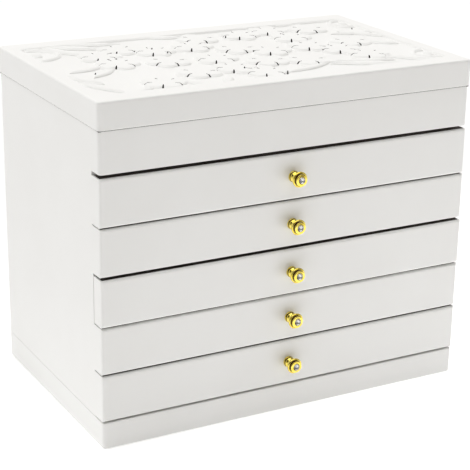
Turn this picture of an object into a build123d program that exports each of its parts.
from build123d import *
import os

# A five-drawer jewellery organizer with a hinged lid topped by a carved floral board.
# All sizes are millimetres. The origin is the centre of the underside, +X runs to
# the right, +Y to the back and +Z up, so the knobs face -Y.

os.makedirs("parts", exist_ok=True)

# Overall sizes
case_width = 300.0
case_depth = 188.0
plinth_height = 20.3
front_height = 34.7
top_section_height = 30.6
lid_height = 19.9
lid_overhang = 0.8

# Gaps over the fronts of drawers 1 (top) to 5, and how far each front stands proud
gaps_over_fronts = (2.7, 1.0, 2.0, 1.1, 1.2)
gap_under_fronts = 1.2
standing_proud = (0.0, 0.0, 0.8, 0.0, 0.0)

# Board thicknesses
wall = 9.0
plinth_wall = 12.0
plinth_rabbet = 5.0
bottom_thickness = 5.0
back_thickness = 4.0
tray_floor_thickness = 4.0
front_thickness = 13.0
drawer_wall = 7.0
drawer_floor_thickness = 3.0
lid_wall = 10.0
lid_panel_thickness = 2.2
fretwork_thickness = 4.0
fretwork_relief = 1.6
mirror_thickness = 2.0
lid_lining_thickness = 3.0

# Rounded edges
corner_radius = 3.0
front_edge_radius = 1.8
lid_edge_radius = 1.6
foot_radius = 1.75
ease = 0.8

# Drawers and their runners
drawer_side_gap = 1.0
drawer_back_gap = 3.0
box_below_front_top = 4.0
box_above_front_bottom = 3.0
groove_depth = 3.5
runner_height = 6.0
runner_gap = 0.15
runner_end_gap = 1.0
runner_side_gap = 0.5
drawer_travel = 125.0

# Velvet-covered inserts: a floor pad, wall cards and divider boards
pad_thickness = 1.5
card_thickness = 1.5
divider_thickness = 4.0
lining_gap = 0.2
glue_line = 0.02
card_below_rim = 3.0
divider_below_card = 2.5
tray_layout = (1, 2, 1)
drawer_layouts = ((2, 2, 2), (1, 1, 1), (1, 2), (1, 1), (1,))

# Ring rolls in the left bay of the tray
ring_roll_count = 9
ring_roll_gap = 0.6
ring_roll_height = 15.0

# Mirror in the lid
mirror_margin_x = 34.0
mirror_margin_y = 22.0
mirror_gap = 0.3

# Hinges
hinge_offset = 95.0
lid_opening = 95.0
hinge_length = 32.0
leaf_depth = 7.5
leaf_thickness = 0.9
leaf_gap = 0.2
knuckle_radius = 2.2
knuckle_count = 5
knuckle_end_gap = 0.3
knuckle_wall_gap = 0.3
hinge_pin_radius = 0.9
hinge_pin_gap = 0.05
hinge_screw_spacing = 20.0
hinge_screw_radius = 1.0
hinge_screw_head_radius = 1.9
hinge_screw_length = 7.5
hinge_screw_gap = 0.05

# Knobs, their crystals and screws
knob_radius = 6.0
knob_length = 12.4
knob_head_length = 4.4
knob_head_back_radius = 4.6
knob_rim_setback = 0.8
knob_rim_groove_depth = 0.6
knob_rim_groove_width = 1.2
knob_collar_wall = 0.45
knob_collar_foot = 0.75
knob_flange_radius = 4.3
knob_flange_thickness = 1.3
knob_bead_radius = 4.1
knob_bead_thickness = 1.0
knob_groove_radius = 3.7
knob_groove_width = 0.5
knob_turned_slope = 0.3
knob_neck_radius = 2.7
crystal_radius = 2.5
crystal_gap = 0.05
crystal_seat_depth = 1.8
crystal_crown = 1.6
crystal_table_radius = 1.5
crystal_facets = 12
knob_screw_radius = 1.5
knob_screw_gap = 0.1
knob_screw_hole_radius = 1.7
knob_screw_head_radius = 3.0
knob_screw_head_thickness = 2.0
knob_screw_recess_radius = 3.4
knob_screw_recess_depth = 2.6
knob_screw_reach = 6.0

# The floral carving. Its motifs are drawn on a field of this size, centred on the lid.
drawn_field_width = 278.0
drawn_field_depth = 152.0
field_margin_x = 11.8
field_margin_y = 18.4
petal_count = 5
petal_radius = 8.0
petal_offset = 9.5
leaf_width = 8.0
curl_width = 4.5
curl_eye_radius = 4.4

# Heights and places worked out from the sizes above
drawer_count = len(gaps_over_fronts)
stack_height = drawer_count * front_height + sum(gaps_over_fronts) + gap_under_fronts
section_bottom = plinth_height + stack_height
rim_height = section_bottom + top_section_height
tray_floor_top = section_bottom + tray_floor_thickness
lid_top = rim_height + lid_height
lid_panel_top = lid_top - fretwork_thickness
relief_ground = lid_top - fretwork_relief
lid_panel_bottom = lid_panel_top - lid_panel_thickness
front_face = -case_depth / 2
back_face = case_depth / 2
half_inside = case_width / 2 - wall
front_back = front_face + front_thickness
box_half_width = half_inside - drawer_side_gap
box_end = back_face - back_thickness - drawer_back_gap
lid_width = case_width + 2 * lid_overhang
lid_depth = case_depth + lid_overhang
lid_middle = -lid_overhang / 2
hinge_y = back_face + knuckle_wall_gap + knuckle_radius
past = 1.0
selector_reach = 0.1


def save(piece, name):
    """Label a finished piece and write it to its own file."""
    piece.part.label = name
    export_step(piece.part, f"parts/{name}.step")


def board(x_range, y_range, z_range, mode=Mode.ADD):
    """A square-edged board between the given limits, in the part being built."""
    sizes = [high - low for low, high in (x_range, y_range, z_range)]
    middle = [(low + high) / 2 for low, high in (x_range, y_range, z_range)]
    with Locations(tuple(middle)):
        return Box(*sizes, mode=mode)


def front_bottom(number):
    """Height of the lower edge of a drawer's front, where number 1 is the top drawer."""
    return section_bottom - sum(gaps_over_fronts[:number]) - number * front_height


def cut_out(frame, outlines, name):
    """Save what stands of a frame inside the given outlines, seen from above."""
    with BuildPart() as piece:
        add(frame.part)
        with BuildSketch(Plane.XY):
            for outline in outlines:
                with BuildLine():
                    Polyline(*outline, close=True)
                make_face()
        extrude(amount=lid_top + past, mode=Mode.INTERSECT)
    save(piece, name)


def mitred(frame, width, depth, middle, thickness, whole):
    """Save the front, back and side rails of a frame with mitred corners."""
    x_out, x_in = width / 2 + past, width / 2 - thickness - past
    front, back = middle - depth / 2 - past, middle + depth / 2 + past
    reach = thickness + 2 * past
    front_rail = ((-x_out, front), (x_out, front), (x_in, front + reach), (-x_in, front + reach))
    back_rail = ((-x_out, back), (x_out, back), (x_in, back - reach), (-x_in, back - reach))
    left_rail = ((-x_out, front), (-x_in, front + reach), (-x_in, back - reach), (-x_out, back))
    right_rail = ((x_out, front), (x_in, front + reach), (x_in, back - reach), (x_out, back))
    cut_out(frame, [front_rail], f"{whole}_front_rail")
    cut_out(frame, [back_rail], f"{whole}_back_rail")
    cut_out(frame, [left_rail, right_rail], f"{whole}_side_rails")


# Plinth: four mitred rails with a bottom board let into a rabbet, flush underneath
with BuildPart() as plinth_frame:
    with BuildSketch(Plane.XY):
        RectangleRounded(case_width, case_depth, corner_radius)
    extrude(amount=plinth_height)
    fillet(plinth_frame.edges().group_by(Axis.Z)[0], foot_radius)
    fillet(plinth_frame.edges().group_by(Axis.Z)[-1], ease)
    with BuildSketch(Plane.XY):
        Rectangle(case_width - 2 * plinth_wall, case_depth - 2 * plinth_wall)
    extrude(amount=plinth_height, mode=Mode.SUBTRACT)
    with BuildSketch(Plane.XY):
        Rectangle(
            case_width - 2 * (plinth_wall - plinth_rabbet),
            case_depth - 2 * (plinth_wall - plinth_rabbet),
        )
    extrude(amount=bottom_thickness, mode=Mode.SUBTRACT)

mitred(plinth_frame, case_width, case_depth, 0.0, plinth_wall, "plinth")

with BuildPart() as bottom_board:
    with BuildSketch(Plane.XY):
        Rectangle(
            case_width - 2 * (plinth_wall - plinth_rabbet),
            case_depth - 2 * (plinth_wall - plinth_rabbet),
        )
    extrude(amount=bottom_thickness)
save(bottom_board, "bottom_board")


# Case: side panels notched behind the drawer fronts, mitred to the tray section's front
def hinge_places():
    """Middles of the two hinges along the back edge."""
    return (-hinge_offset, hinge_offset)


def hinge_screw_places():
    """Where the hinge screws go in, seen from above."""
    y = back_face - leaf_depth / 2
    half = hinge_screw_spacing / 2
    return [(x + side, y) for x in hinge_places() for side in (-half, half)]


def hinge_recess(x, z_range):
    """Let a hinge leaf into the rail being built."""
    half = hinge_length / 2 + leaf_gap
    board(
        (x - half, x + half),
        (back_face - leaf_depth - leaf_gap, back_face + lid_overhang + past),
        z_range,
        mode=Mode.SUBTRACT,
    )


with BuildPart() as case_frame:
    with BuildSketch(Plane.XY.offset(plinth_height)):
        RectangleRounded(case_width, case_depth, corner_radius)
    extrude(amount=rim_height - plinth_height)
    fillet(case_frame.edges().group_by(Axis.Z)[-1], ease)
    fillet(case_frame.edges().group_by(Axis.Z)[0], ease)
    with BuildSketch(Plane.XY.offset(plinth_height)):
        Rectangle(case_width - 2 * wall, case_depth - 2 * wall)
    extrude(amount=rim_height - plinth_height, mode=Mode.SUBTRACT)
    board(
        (-case_width, case_width),
        (front_face - past, front_back),
        (plinth_height - past, section_bottom),
        mode=Mode.SUBTRACT,
    )
    under_front = case_frame.edges().filter_by(Axis.X).filter_by_position(
        Axis.Y, front_face - selector_reach, front_face + selector_reach
    ).filter_by_position(
        Axis.Z, section_bottom - selector_reach, section_bottom + selector_reach
    )
    fillet(under_front, ease)

for side, name in ((-1, "left_side_panel"), (1, "right_side_panel")):
    inner = side * half_inside
    outer = side * (case_width / 2 + past)
    side_outline = (
        (outer, front_face - past),
        (inner, front_face + wall),
        (inner, back_face + past),
        (outer, back_face + past),
    )
    cut_out(case_frame, [side_outline], name)

front_outline = (
    (-case_width / 2 - past, front_face - past),
    (case_width / 2 + past, front_face - past),
    (half_inside, front_face + wall),
    (-half_inside, front_face + wall),
)
cut_out(case_frame, [front_outline], "tray_front_rail")

with BuildPart() as tray_back_rail:
    board(
        (-half_inside, half_inside),
        (back_face - wall, back_face),
        (section_bottom, rim_height),
    )
    back_rim = tray_back_rail.edges().group_by(Axis.Z)[-1].sort_by(Axis.Y)[-1]
    fillet(back_rim, ease)
    for x in hinge_places():
        hinge_recess(x, (rim_height - leaf_thickness, rim_height + past))
    with Locations(*[(x, y, rim_height) for x, y in hinge_screw_places()]):
        Hole(hinge_screw_radius + hinge_screw_gap, hinge_screw_length + past)
save(tray_back_rail, "tray_back_rail")

with BuildPart() as back_panel:
    board(
        (-half_inside, half_inside),
        (back_face - back_thickness, back_face),
        (plinth_height, section_bottom),
    )
save(back_panel, "back_panel")

with BuildPart() as tray_floor:
    board(
        (-half_inside, half_inside),
        (front_face + wall, back_face - wall),
        (section_bottom, tray_floor_top),
    )
save(tray_floor, "tray_floor")


# Runners: a strip on each side for each drawer, which rides in the drawer's groove
def runner_middle(number):
    """Height of the middle of a drawer's runners."""
    low = front_bottom(number) + box_above_front_bottom
    high = front_bottom(number) + front_height - box_below_front_top
    return (low + high) / 2


def runner_range(number, gap=0.0):
    """Lower and upper face of a drawer's runners, or of the groove around them."""
    middle = runner_middle(number)
    return (middle - runner_height / 2 - gap, middle + runner_height / 2 + gap)


runner_width = drawer_side_gap + groove_depth - runner_side_gap

with BuildPart() as drawer_runners:
    for number in range(1, drawer_count + 1):
        for side in (-1, 1):
            x_pair = sorted((side * half_inside, side * (half_inside - runner_width)))
            board(
                x_pair,
                (front_back + 2 * runner_end_gap, back_face - back_thickness - runner_end_gap),
                runner_range(number),
            )
save(drawer_runners, "drawer_runners")


# Velvet-covered inserts for the tray and the drawers
def bays(inside, layout):
    """The free rectangles of an insert, column by column: (x_range, y_range)."""
    (x_low, x_high), (y_low, y_high) = inside
    edge = card_thickness + 2 * lining_gap
    x_low, x_high = x_low + edge, x_high - edge
    y_low, y_high = y_low + edge, y_high - edge
    column = (x_high - x_low - (len(layout) - 1) * divider_thickness) / len(layout)
    places = []
    for index, rows in enumerate(layout):
        left = x_low + index * (column + divider_thickness)
        row = (y_high - y_low - (rows - 1) * divider_thickness) / rows
        for step in range(rows):
            near = y_low + step * (row + divider_thickness)
            places.append(((left, left + column), (near, near + row)))
    return places


def divider_boards(inside, layout):
    """The divider boards between the bays: (x_range, y_range)."""
    places = bays(inside, layout)
    y_low = min(y_range[0] for _, y_range in places)
    y_high = max(y_range[1] for _, y_range in places)
    x_high = max(x_range[1] for x_range, _ in places)
    boards = []
    for (left, right), (near, far) in places:
        if far < y_high - past:
            between = (far + lining_gap, far + divider_thickness - lining_gap)
            boards.append(((left, right), between))
        if right < x_high - past and near < y_low + past:
            between = (right + lining_gap, right + divider_thickness - lining_gap)
            boards.append((between, (y_low, y_high)))
    return boards


def insert(inside, floor_level, card_top, layout):
    """A floor pad, four wall cards and dividers, as separate velvet-covered boards."""
    (x_low, x_high), (y_low, y_high) = inside
    x_low, x_high = x_low + lining_gap, x_high - lining_gap
    y_low, y_high = y_low + lining_gap, y_high - lining_gap
    pad_top = floor_level + pad_thickness
    upright = (pad_top + lining_gap, card_top)
    divider = (pad_top + lining_gap, card_top - divider_below_card)
    with BuildPart() as piece:
        board((x_low, x_high), (y_low, y_high), (floor_level, pad_top))
        board((x_low, x_low + card_thickness), (y_low, y_high), upright)
        board((x_high - card_thickness, x_high), (y_low, y_high), upright)
        across = (x_low + card_thickness + lining_gap, x_high - card_thickness - lining_gap)
        board(across, (y_low, y_low + card_thickness), upright)
        board(across, (y_high - card_thickness, y_high), upright)
        for x_range, y_range in divider_boards(inside, layout):
            board(x_range, y_range, divider)
    return piece


tray_inside = (
    (-half_inside, half_inside),
    (front_face + wall, back_face - wall),
)
tray_card_top = rim_height - card_below_rim
save(insert(tray_inside, tray_floor_top, tray_card_top, tray_layout), "tray_insert")

# Ring rolls: soft bars with a round top, side by side in the left bay
ring_bay_x, ring_bay_y = bays(tray_inside, tray_layout)[0]
ring_roll_pitch = (ring_bay_y[1] - ring_bay_y[0]) / ring_roll_count
ring_roll_radius = (ring_roll_pitch - ring_roll_gap) / 2
ring_roll_base = tray_floor_top + pad_thickness + lining_gap

with BuildPart() as ring_rolls:
    with BuildSketch(Plane.YZ.offset(ring_bay_x[0] + ring_roll_gap)):
        for index in range(ring_roll_count):
            y = ring_bay_y[0] + (index + 0.5) * ring_roll_pitch
            low, top = ring_roll_base, ring_roll_base + ring_roll_height
            near, far = y - ring_roll_radius, y + ring_roll_radius
            spring = top - ring_roll_radius
            with BuildLine():
                ThreePointArc((near, spring), (y, top), (far, spring))
                Polyline((far, spring), (far, low), (near, low), (near, spring))
            make_face()
    extrude(amount=ring_bay_x[1] - ring_bay_x[0] - 2 * ring_roll_gap)
save(ring_rolls, "ring_rolls")


# Hinges: five-knuckle butt hinges let into the two rails, with the pin behind the back
def hinge_leaves(z_range, first_knuckle, name):
    """Both leaves of one side, with every second knuckle from the first one given."""
    knuckle_pitch = (hinge_length + knuckle_end_gap) / knuckle_count
    knuckle_length = knuckle_pitch - knuckle_end_gap
    top = z_range[1] == rim_height
    facing = Plane.XY.offset(rim_height) if top else -Plane.XY.offset(rim_height)
    with BuildPart() as leaves:
        for x in hinge_places():
            board(
                (x - hinge_length / 2, x + hinge_length / 2),
                (back_face - leaf_depth, back_face),
                z_range,
            )
            for index in range(first_knuckle, knuckle_count, 2):
                middle = x - hinge_length / 2 + index * knuckle_pitch + knuckle_length / 2
                board(
                    (middle - knuckle_length / 2, middle + knuckle_length / 2),
                    (back_face - past, hinge_y),
                    z_range,
                )
                with Locations((middle, hinge_y, rim_height)):
                    Cylinder(knuckle_radius, knuckle_length, rotation=(0, 90, 0))
            with Locations((x, hinge_y, rim_height)):
                Cylinder(
                    hinge_pin_radius + hinge_pin_gap,
                    hinge_length + 2 * past,
                    rotation=(0, 90, 0),
                    mode=Mode.SUBTRACT,
                )
        with Locations(facing):
            with Locations(*[(x, y if top else -y) for x, y in hinge_screw_places()]):
                CounterSinkHole(
                    hinge_screw_radius + hinge_screw_gap,
                    hinge_screw_head_radius + hinge_screw_gap,
                    leaf_thickness + past,
                    90,
                )
    save(leaves, name)


def hinge_screws(direction, name):
    """Countersunk screws through the leaves, going down (-1) or up (+1)."""
    head_height = hinge_screw_head_radius - hinge_screw_radius
    with BuildPart() as screws:
        for x, y in hinge_screw_places():
            with BuildSketch(Plane(origin=(x, y, rim_height), x_dir=(1, 0, 0), z_dir=(0, 1, 0))):
                with BuildLine():
                    Polyline(
                        (0, 0),
                        (hinge_screw_head_radius, 0),
                        (hinge_screw_radius, -direction * head_height),
                        (hinge_screw_radius, -direction * (hinge_screw_length - past)),
                        (0, -direction * hinge_screw_length),
                        close=True,
                    )
                make_face()
            revolve(axis=Axis((x, y, rim_height), (0, 0, 1)))
    save(screws, name)


hinge_leaves((rim_height - leaf_thickness, rim_height), 0, "case_hinge_leaves")
hinge_leaves((rim_height, rim_height + leaf_thickness), 1, "lid_hinge_leaves")
hinge_screws(-1, "case_hinge_screws")
hinge_screws(1, "lid_hinge_screws")

with BuildPart() as hinge_pins:
    with Locations(*[(x, hinge_y, rim_height) for x in hinge_places()]):
        Cylinder(hinge_pin_radius, hinge_length + ease, rotation=(0, 90, 0))
save(hinge_pins, "hinge_pins")


# Lid: mitred rails, a panel over them and the fretwork board on top
with BuildPart() as lid_frame:
    with BuildSketch(Plane((0, lid_middle, rim_height))):
        RectangleRounded(lid_width, lid_depth, corner_radius)
    extrude(amount=lid_panel_bottom - rim_height)
    fillet(lid_frame.edges().group_by(Axis.Z)[0], ease)
    with BuildSketch(Plane((0, lid_middle, rim_height))):
        Rectangle(lid_width - 2 * lid_wall, lid_depth - 2 * lid_wall)
    extrude(amount=lid_panel_bottom - rim_height, mode=Mode.SUBTRACT)
    for x in hinge_places():
        hinge_recess(x, (rim_height - past, rim_height + leaf_thickness))
    with Locations(*[(x, y, rim_height + hinge_screw_length) for x, y in hinge_screw_places()]):
        Cylinder(
            hinge_screw_radius + hinge_screw_gap,
            2 * hinge_screw_length,
            mode=Mode.SUBTRACT,
        )

mitred(lid_frame, lid_width, lid_depth, lid_middle, lid_wall, "lid")

with BuildPart() as lid_panel:
    with BuildSketch(Plane((0, lid_middle, lid_panel_bottom))):
        RectangleRounded(lid_width, lid_depth, corner_radius)
    extrude(amount=lid_panel_thickness)
save(lid_panel, "lid_panel")

# Mirror and its velvet-covered surround, glued under the lid panel
recess_width = lid_width - 2 * (lid_wall + lining_gap)
recess_depth = lid_depth - 2 * (lid_wall + lining_gap)
window_width = recess_width - 2 * mirror_margin_x
window_depth = recess_depth - 2 * mirror_margin_y

with BuildPart() as lid_lining:
    with BuildSketch(Plane((0, lid_middle, lid_panel_bottom - lid_lining_thickness))):
        Rectangle(recess_width, recess_depth)
        Rectangle(window_width, window_depth, mode=Mode.SUBTRACT)
    extrude(amount=lid_lining_thickness)
save(lid_lining, "lid_lining")

with BuildPart() as lid_mirror:
    with BuildSketch(Plane((0, lid_middle, lid_panel_bottom - mirror_thickness))):
        Rectangle(window_width - 2 * mirror_gap, window_depth - 2 * mirror_gap)
    extrude(amount=mirror_thickness)
save(lid_mirror, "lid_mirror")


# Fretwork: blossoms, leaves and curls left standing where the ground is carved away
field_width = lid_width - 2 * field_margin_x
field_depth = lid_depth - 2 * field_margin_y
stretch_x = field_width / drawn_field_width
stretch_y = field_depth / drawn_field_depth
motif_scale = max(stretch_x, stretch_y)

# Each blossom: x, y and the turn of its first petal in degrees
blossoms = (
    (-95, 31, 62),
    (-73, 47, 62),
    (-50, 32, 62),
    (-17, 34, 62),
    (-1, 57, 98),
    (36, 56, 62),
    (64, 61, 62),
    (97, 55, 98),
    (11, 14, 98),
    (31, -2, 62),
    (66, 0, 62),
    (104, 1, 98),
    (82, -19, 62),
    (69, 32, 62),
    (-55, -3, 98),
    (-92, 5, 62),
    (-19, -10, 62),
    (12, -31, 98),
    (41, -41, 98),
    (93, -42, 62),
    (-50, -43, 98),
    (-21, -41, 62),
    (-6, -62, 62),
    (-86, -60, 62),
)

# Each leaf: where it springs from and where its tip is
leaves = (
    (-124, 79, -78, 54),
    (-124, 79, -104, 40),
    (-106, 79, -62, 66),
    (-141, -14, -124, -46),
    (-141, -32, -120, -76),
    (-128, -79, -98, -70),
    (-104, 2, -134, -6),
    (-100, -8, -124, -26),
    (116, -4, 136, -20),
    (50, -58, 104, -79),
    (54, -52, 102, -66),
    (100, -52, 128, -79),
    (141, 6, 116, 40),
    (141, 24, 106, 32),
    (78, 76, 104, 80),
    (-38, 79, -8, 68),
    (-70, -54, -62, -80),
    (-34, -56, -46, -80),
    (10, -68, 50, -56),
)

# Each curl: middle of its arc, radius, first angle and sweep in degrees
curls = (
    (-136, 55, 17, -90, 180),
    (137, -60, 13, 90, 180),
    (137, 62, 12, 90, 180),
)

# The eyes inside the curls
curl_eyes = ((-135, 54), (135, -60), (135, 61))


def placed(x, y):
    """A place on the drawn field, moved to the field's real size."""
    return (x * stretch_x, y * stretch_y)


def leaf_outline(x_stem, y_stem, x_tip, y_tip):
    """A pointed leaf between two places, bounded by two arcs."""
    stem, tip = Vector(*placed(x_stem, y_stem)), Vector(*placed(x_tip, y_tip))
    middle = (stem + tip) / 2
    bulge = (tip - stem).normalized().rotate(Axis.Z, 90) * leaf_width * motif_scale / 2
    with BuildSketch(mode=Mode.PRIVATE) as outline:
        with BuildLine():
            ThreePointArc(stem, middle + bulge, tip)
            ThreePointArc(tip, middle - bulge, stem)
        make_face()
    return outline.sketch


def curl_outline(x, y, radius, start, sweep):
    """A curl: a rounded stroke along an arc."""
    arc = CenterArc(placed(x, y), radius * motif_scale, start, sweep, mode=Mode.PRIVATE)
    with BuildSketch(mode=Mode.PRIVATE) as outline:
        SlotArc(arc, curl_width * motif_scale)
    return outline.sketch


with BuildSketch(Plane((0, lid_middle, relief_ground)), mode=Mode.PRIVATE) as ground:
    RectangleRounded(field_width, field_depth, corner_radius)
    with Locations(*[Location((*placed(x, y), 0), (0, 0, turn)) for x, y, turn in blossoms]):
        Circle(petal_offset * motif_scale, mode=Mode.SUBTRACT)
        with PolarLocations(petal_offset * motif_scale, petal_count):
            Circle(petal_radius * motif_scale, mode=Mode.SUBTRACT)
    add([leaf_outline(*leaf) for leaf in leaves], mode=Mode.SUBTRACT)
    add([curl_outline(*curl) for curl in curls], mode=Mode.SUBTRACT)
    with Locations(*[placed(x, y) for x, y in curl_eyes]):
        Circle(curl_eye_radius * motif_scale, mode=Mode.SUBTRACT)

with BuildPart() as lid_fretwork:
    with BuildSketch(Plane((0, lid_middle, lid_panel_top))):
        RectangleRounded(lid_width, lid_depth, corner_radius)
    extrude(amount=fretwork_thickness)
    fillet(lid_fretwork.edges().group_by(Axis.Z)[-1], lid_edge_radius)
    add(ground.sketch)
    extrude(amount=fretwork_relief, mode=Mode.SUBTRACT)
save(lid_fretwork, "lid_fretwork")


# Drawers
def knob_frame(number):
    """The plane of a knob: +X of the plane runs out of the front, +Y is a radius."""
    height = front_bottom(number) + front_height / 2
    front = front_face - standing_proud[number - 1]
    return Plane(origin=(0, front, height), x_dir=(0, -1, 0), z_dir=(1, 0, 0))


def drawer_front(number):
    """The overlay front, rounded on all its front edges, bored for the knob's screw."""
    proud = standing_proud[number - 1]
    low = front_bottom(number)
    with BuildPart() as piece:
        board(
            (-case_width / 2, case_width / 2),
            (front_face - proud, front_back - proud),
            (low, low + front_height),
        )
        fillet(piece.edges().group_by(Axis.Y)[0], front_edge_radius)
        back = Plane(
            origin=(0, front_back - proud, low + front_height / 2),
            x_dir=(-1, 0, 0),
            z_dir=(0, 1, 0),
        )
        with Locations(back):
            CounterBoreHole(
                knob_screw_hole_radius,
                knob_screw_recess_radius,
                knob_screw_recess_depth,
                front_thickness + past,
            )
    save(piece, f"drawer_{number}_front")


def box_limits(number):
    """The y and z limits of a drawer's box."""
    proud = standing_proud[number - 1]
    low = front_bottom(number) + box_above_front_bottom
    high = front_bottom(number) + front_height - box_below_front_top
    return (front_back - proud, box_end - proud), (low, high)


def drawer_inside(number):
    """The free rectangle inside a drawer's walls: x_range, y_range."""
    (near, far), _ = box_limits(number)
    half = box_half_width - drawer_wall
    return ((-half, half), (near, far - drawer_wall))


def drawer_box(number):
    """Two grooved side walls and a back wall, as separate boards in one node."""
    (near, far), z_range = box_limits(number)
    with BuildPart() as piece:
        for side in (-1, 1):
            x_pair = sorted((side * box_half_width, side * (box_half_width - drawer_wall)))
            groove = sorted((side * (box_half_width + past), side * (box_half_width - groove_depth)))
            board(x_pair, (near, far), z_range)
            board(
                groove,
                (near + runner_end_gap, far + past),
                runner_range(number, runner_gap),
                mode=Mode.SUBTRACT,
            )
        half = box_half_width - drawer_wall - glue_line
        board((-half, half), (far - drawer_wall, far), z_range)
    save(piece, f"drawer_{number}_box")


def drawer_floor(number):
    """The board between the walls, flush with their lower edges."""
    x_range, y_range = drawer_inside(number)
    _, (low, _) = box_limits(number)
    with BuildPart() as piece:
        board(x_range, y_range, (low, low + drawer_floor_thickness))
    save(piece, f"drawer_{number}_floor")


def drawer_insert(number):
    """The velvet-covered insert that stands on the drawer's floor."""
    _, (low, high) = box_limits(number)
    floor_level = low + drawer_floor_thickness
    card_top = high - card_below_rim
    inside = drawer_inside(number)
    piece = insert(inside, floor_level, card_top, drawer_layouts[number - 1])
    save(piece, f"drawer_{number}_insert")


def knob(number):
    """A turned knob: flange, neck, and a rimmed head with a seat for the crystal."""
    frame = knob_frame(number)
    seat = knob_length - crystal_seat_depth
    pocket = crystal_radius + crystal_gap
    bore = knob_screw_radius + knob_screw_gap
    groove = knob_flange_thickness + knob_turned_slope
    bead = groove + knob_groove_width + knob_turned_slope
    bead_end = bead + knob_bead_thickness
    head = knob_length - knob_head_length
    rim = knob_length - knob_rim_setback
    rim_inner = pocket + knob_collar_foot + knob_rim_groove_width
    with BuildPart() as piece:
        with BuildSketch(frame):
            with BuildLine():
                Polyline(
                    (knob_screw_reach, 0),
                    (knob_screw_reach, bore),
                    (0, bore),
                    (0, knob_flange_radius),
                    (knob_flange_thickness, knob_flange_radius),
                    (groove, knob_groove_radius),
                    (groove + knob_groove_width, knob_groove_radius),
                    (bead, knob_bead_radius),
                    (bead_end, knob_bead_radius),
                )
                ThreePointArc(
                    (bead_end, knob_bead_radius),
                    ((bead_end + head) / 2, knob_neck_radius),
                    (head, knob_head_back_radius),
                )
                ThreePointArc(
                    (head, knob_head_back_radius),
                    ((head + rim) / 2, knob_radius),
                    (rim, rim_inner),
                )
                Polyline(
                    (rim, rim_inner),
                    (rim - knob_rim_groove_depth, rim_inner - knob_rim_groove_width / 2),
                    (rim, pocket + knob_collar_foot),
                    (knob_length, pocket + knob_collar_wall),
                    (knob_length, pocket),
                    (seat, pocket),
                    (seat, 0),
                    (knob_screw_reach, 0),
                )
            make_face()
        revolve(axis=Axis(frame.origin, (0, -1, 0)))
    save(piece, f"drawer_{number}_knob")


def crystal(number):
    """A faceted clear stone: a straight girdle in the knob's seat and a sloped crown."""
    frame = knob_frame(number)
    seat = knob_length - crystal_seat_depth
    outward = Plane(
        origin=frame.origin + Vector(0, -seat, 0), x_dir=(1, 0, 0), z_dir=(0, -1, 0)
    )
    girdle = crystal_seat_depth + crystal_gap
    with BuildPart() as piece:
        with BuildSketch(outward):
            RegularPolygon(crystal_radius, crystal_facets)
        extrude(amount=girdle)
        with BuildSketch(outward.offset(girdle)):
            RegularPolygon(crystal_radius, crystal_facets)
        with BuildSketch(outward.offset(girdle + crystal_crown)):
            RegularPolygon(crystal_table_radius, crystal_facets)
        loft()
    save(piece, f"drawer_{number}_crystal")


def knob_screw(number):
    """The screw from inside the drawer, its head sunk in the front's back."""
    frame = knob_frame(number)
    head_seat = front_thickness - knob_screw_recess_depth
    end = knob_screw_reach - past
    with BuildPart() as piece:
        with BuildSketch(frame):
            with BuildLine():
                Polyline(
                    (end, 0),
                    (end, knob_screw_radius - ease / 2),
                    (end - ease, knob_screw_radius),
                    (-head_seat, knob_screw_radius),
                    (-head_seat, knob_screw_head_radius),
                    (-head_seat - knob_screw_head_thickness, knob_screw_head_radius - ease),
                    (-head_seat - knob_screw_head_thickness, 0),
                    close=True,
                )
            make_face()
        revolve(axis=Axis(frame.origin, (0, -1, 0)))
    save(piece, f"drawer_{number}_screw")


for number in range(1, drawer_count + 1):
    drawer_front(number)
    drawer_box(number)
    drawer_floor(number)
    drawer_insert(number)
    knob(number)
    crystal(number)
    knob_screw(number)

# Motion: what turns or slides, about or along which line, and how far
print(f"lid turns about X at y {hinge_y:.1f}, z {rim_height:.1f}, from 0 to {lid_opening} degrees")
for number, proud in enumerate(standing_proud, 1):
    print(f"drawer {number} slides towards -Y from {-proud:.1f} to {drawer_travel - proud:.1f}")
